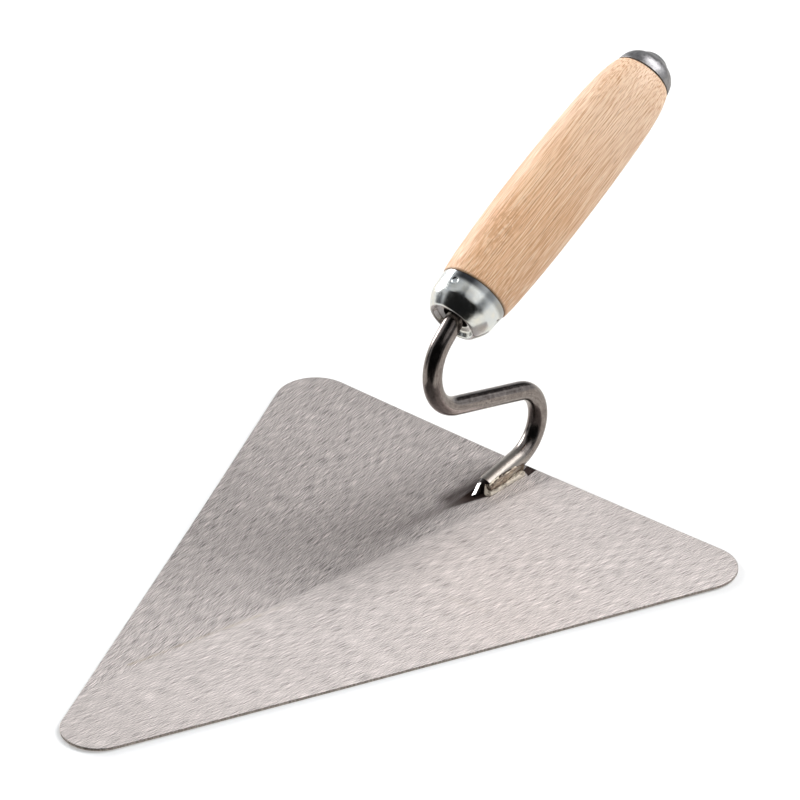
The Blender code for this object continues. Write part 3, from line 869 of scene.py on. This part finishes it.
PIT_DEPTH = 0.8 * MM
PIT_RADIUS = 1.75 * MM
PIT_WALL = 0.8 * MM                # how far in from its radius a pit's side slopes
DISH_DEPTH = 0.24 * MM
DISH_RADIUS = 4.0 * MM


def stakes(angles, station, radius):
    """Three punch marks: each is a round pit in the middle of a wide, shallow dish."""
    change = np.zeros(len(angles))
    if radius < FERRULE_RIM_RADIUS - 0.7 * MM:
        return change
    for i in range(STAKE_COUNT):
        centre = math.radians(STAKE_FIRST_ANGLE + 360 / STAKE_COUNT * i)
        around = (angles - centre + math.pi) % math.tau - math.pi
        away = np.hypot(around * radius, station - STAKE_STATION)
        change -= PIT_DEPTH * ease((PIT_RADIUS - away) / PIT_WALL)
        change -= DISH_DEPTH * np.exp(-(away / DISH_RADIUS) ** 2)
    return change


def make_ferrule(matrix):
    piece = turned("ferrule_cup", ferrule_profile()[::-1], matrix, 288, closed=True, change=stakes)
    piece.data.set_sharp_from_angle(angle=math.radians(50))
    piece.data.materials.append(zinc_material())
    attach(piece, "root")
    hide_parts("ferrule")


def wood_radius(station):
    """Radius of the visible wood: a long barrel whose rear half falls away faster."""
    front = FERRULE_LENGTH + GAP
    rear = CAP_START - GAP
    widest = front + WOOD_WIDEST_PLACE * (rear - front)
    if station < widest:
        fall = (widest - station) / (widest - front)
        return WOOD_WIDEST_RADIUS - 1.6 * MM * fall ** 2 - 0.4 * MM * fall ** 12
    fall = (station - widest) / (rear - widest)
    return WOOD_WIDEST_RADIUS - 2.4 * MM * fall ** 2.2 - 2.4 * MM * fall ** 10


def make_handle(matrix):
    front = FERRULE_LENGTH + GAP
    rear = CAP_START - GAP
    front_seat = FERRULE_RIM_RADIUS - FERRULE_WALL - GAP
    profile = [(BORE_RADIUS, 74 * MM), (BORE_RADIUS, 30 * MM), (BORE_RADIUS, 7 * MM),
               (front_seat - 1.8 * MM, 6.6 * MM), (front_seat, 10.2 * MM),
               (front_seat, front - 0.05 * MM), (wood_radius(front) - 0.3 * MM, front)]
    for station in np.linspace(front, rear, 162)[1:-1]:
        profile.append((wood_radius(station), station))
    profile += [(wood_radius(rear) - 0.3 * MM, rear), (CAP_RADIUS - 1.0 * MM, rear),
                (CAP_RADIUS - 2.3 * MM, rear + 3 * MM), (7.0 * MM, rear + 6 * MM)]
    piece = turned("beech_handle", profile, matrix, 120)
    piece.data.set_sharp_from_angle(angle=math.radians(40))
    piece.data.materials.append(beech_material())
    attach(piece, "root")
    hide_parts("handle")


def make_cap(matrix):
    end = (CAP_START + CAP_HEIGHT) / MM
    radius = CAP_RADIUS / MM
    outer = [(0.05, end), (1.6, end - 0.05), (3.0, end - 0.2), (4.4, end - 0.7), (5.6, end - 1.5),
             (6.6, end - 2.5), (7.7, end - 3.25), (8.8, end - 3.95), (9.8, end - 4.85),
             (10.75, end - 6.0), (11.6, end - 7.6), (12.1, end - 9.2), (radius, end - 11.0)]
    inner = [(radius - 0.15, end - 11.1), (radius - 0.6, end - 11.05), (radius - 0.75, end - 10.8),
             (radius - 1.2, end - 9.0), (10.0, end - 6.8), (7.5, end - 5.2), (3.0, end - 4.6),
             (0.05, end - 4.5)]
    line = np.vstack([smooth_line(outer, 0.3), smooth_line(inner, 0.6)]) * MM
    piece = turned("end_cap_shell", line[::-1], matrix, 144)
    piece.data.materials.append(cap_material())
    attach(piece, "root")
    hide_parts("end_cap")


# ---------------------------------------------------------------- the studio

def direction(azimuth, elevation):
    """Unit vector towards a place; azimuth 0 is -Y and 90 is +X."""
    a, e = math.radians(azimuth), math.radians(elevation)
    return Vector((math.sin(a) * math.cos(e), -math.cos(a) * math.cos(e), math.sin(e)))


def aim(item, target):
    item.rotation_mode = "QUATERNION"
    item.rotation_quaternion = (Vector(target) - item.location).to_track_quat("-Z", "Y")


CAMERA_TARGET = (-18.5 * MM, -43.9 * MM, 51.5 * MM)
CAMERA_SIDE = (40.71, 30.22)       # azimuth and elevation
CAMERA_DISTANCE = 2.0833
LIGHT_TARGET = (0.0, -30 * MM, 50 * MM)


def make_camera():
    camera = bpy.data.cameras.new("camera")
    camera.lens = 232.4
    camera.sensor_width = 36.0
    camera.clip_start = 0.05
    camera.clip_end = 60.0
    item = bpy.data.objects.new("camera", camera)
    bpy.context.scene.collection.objects.link(item)
    item.location = Vector(CAMERA_TARGET) + direction(*CAMERA_SIDE) * CAMERA_DISTANCE
    aim(item, CAMERA_TARGET)
    bpy.context.scene.camera = item


def area_light(name, towards, distance, size, watts, shiny=True):
    """A round light; one that isn't shiny is a fill with no reflection and no shadow."""
    light = bpy.data.lights.new(name, "AREA")
    light.shape = "DISK"
    light.size = size
    light.energy = watts
    item = bpy.data.objects.new(name, light)
    bpy.context.scene.collection.objects.link(item)
    item.location = Vector(towards).normalized() * distance
    item.visible_glossy = shiny
    light.use_shadow = shiny
    aim(item, LIGHT_TARGET)


# Dark parts of the studio: azimuth, elevation, degrees from the middle to the core's edge and to the
# rim, and how dark the core is.
DARK_SIDES = ((15, 18, 49, 62, 0.985), (78, 8, 14, 28, 0.85), (-170, 25, 15, 22, 0.94),
              (-128, 48, 14, 42, 0.55), (-62, 2, 9, 20, 0.9))
STUDIO_WALLS = 0.6
STUDIO_GROUND = 0.95
STUDIO_HORIZON = (-0.12, 0.04)     # sines of the elevations between which the ground turns into wall


def make_world():
    """A pale studio with dark parts that the metal mirrors; the camera itself sees it all white."""
    world = bpy.data.worlds.new("studio")
    world.use_nodes = True
    tree = world.node_tree
    tree.nodes.clear()

    def node(kind, **settings):
        made = tree.nodes.new(kind)
        for key, value in settings.items():
            setattr(made, key, value)
        return made

    def spread(value, numbers):
        made = node("ShaderNodeMapRange", interpolation_type="SMOOTHSTEP")
        for target, number in zip(made.inputs[1:5], numbers):
            target.default_value = number
        tree.links.new(value, made.inputs[0])
        return made.outputs[0]

    place = node("ShaderNodeTexCoord").outputs["Generated"]
    height = node("ShaderNodeSeparateXYZ")
    tree.links.new(place, height.inputs[0])
    level = spread(height.outputs[2], (*STUDIO_HORIZON, STUDIO_GROUND, STUDIO_WALLS))
    for azimuth, elevation, core, rim, depth in DARK_SIDES:
        along = node("ShaderNodeVectorMath", operation="DOT_PRODUCT")
        along.inputs[1].default_value = direction(azimuth, elevation)
        tree.links.new(place, along.inputs[0])
        dim = spread(along.outputs["Value"],
                     (math.cos(math.radians(rim)), math.cos(math.radians(core)), 1.0, 1.0 - depth))
        product = node("ShaderNodeMath", operation="MULTIPLY")
        tree.links.new(level, product.inputs[0])
        tree.links.new(dim, product.inputs[1])
        level = product.outputs[0]
    cast = node("ShaderNodeMix", data_type="RGBA")
    tree.links.new(spread(height.outputs[2], (*STUDIO_HORIZON, 1.0, 0.0)), cast.inputs[0])
    cast.inputs[6].default_value = (0.94, 0.97, 1.0, 1.0)
    cast.inputs[7].default_value = (1.0, 0.98, 0.93, 1.0)
    seen = node("ShaderNodeBackground")
    lit = node("ShaderNodeBackground")
    for background in (seen, lit):
        background.inputs["Color"].default_value = (1.0, 1.0, 1.0, 1.0)
    tree.links.new(cast.outputs[2], lit.inputs["Color"])
    tree.links.new(level, lit.inputs["Strength"])
    chosen = node("ShaderNodeMixShader")
    tree.links.new(node("ShaderNodeLightPath").outputs["Is Camera Ray"], chosen.inputs[0])
    tree.links.new(lit.outputs[0], chosen.inputs[1])
    tree.links.new(seen.outputs[0], chosen.inputs[2])
    tree.links.new(chosen.outputs[0], node("ShaderNodeOutputWorld").inputs["Surface"])
    bpy.context.scene.world = world


def make_floor():
    mesh = bpy.data.meshes.new("floor")
    reach = 15.0
    mesh.from_pydata([(-reach, -reach, 0), (reach, -reach, 0), (reach, reach, 0), (-reach, reach, 0)],
                     [], [(0, 1, 2, 3)])
    floor = bpy.data.objects.new("floor", mesh)
    floor.location.z = BLADE_LOW.z
    bpy.context.scene.collection.objects.link(floor)
    shader = Shader("floor_white", (0.93, 0.93, 0.93), 0.0, 0.9)
    mesh.materials.append(shader.material)
    floor.visible_glossy = False


def make_studio():
    make_camera()
    make_world()
    make_floor()
    area_light("key_back", (0.082, 0.571, 0.816), 1.8, 0.6, 8.0)
    area_light("key_side", (0.42, 0.60, 0.68), 1.8, 0.7, 11.0)
    area_light("soft_left", direction(-92, 20), 1.4, 0.8, 12.0)
    area_light("soft_right", direction(86, 55), 1.3, 1.2, 1.5)
    area_light("wood_fill", direction(-20, 42), 1.4, 0.8, 6.0, shiny=False)
    bpy.context.scene.view_settings.view_transform = "Standard"


make_studio()
make_blade()
make_neck()
make_bead("weld_fillet_left", "weld_bead_left", -1)
make_bead("weld_fillet_right", "weld_bead_right", 1)
HANDLE = handle_matrix()
make_ferrule(HANDLE)
make_handle(HANDLE)
make_cap(HANDLE)
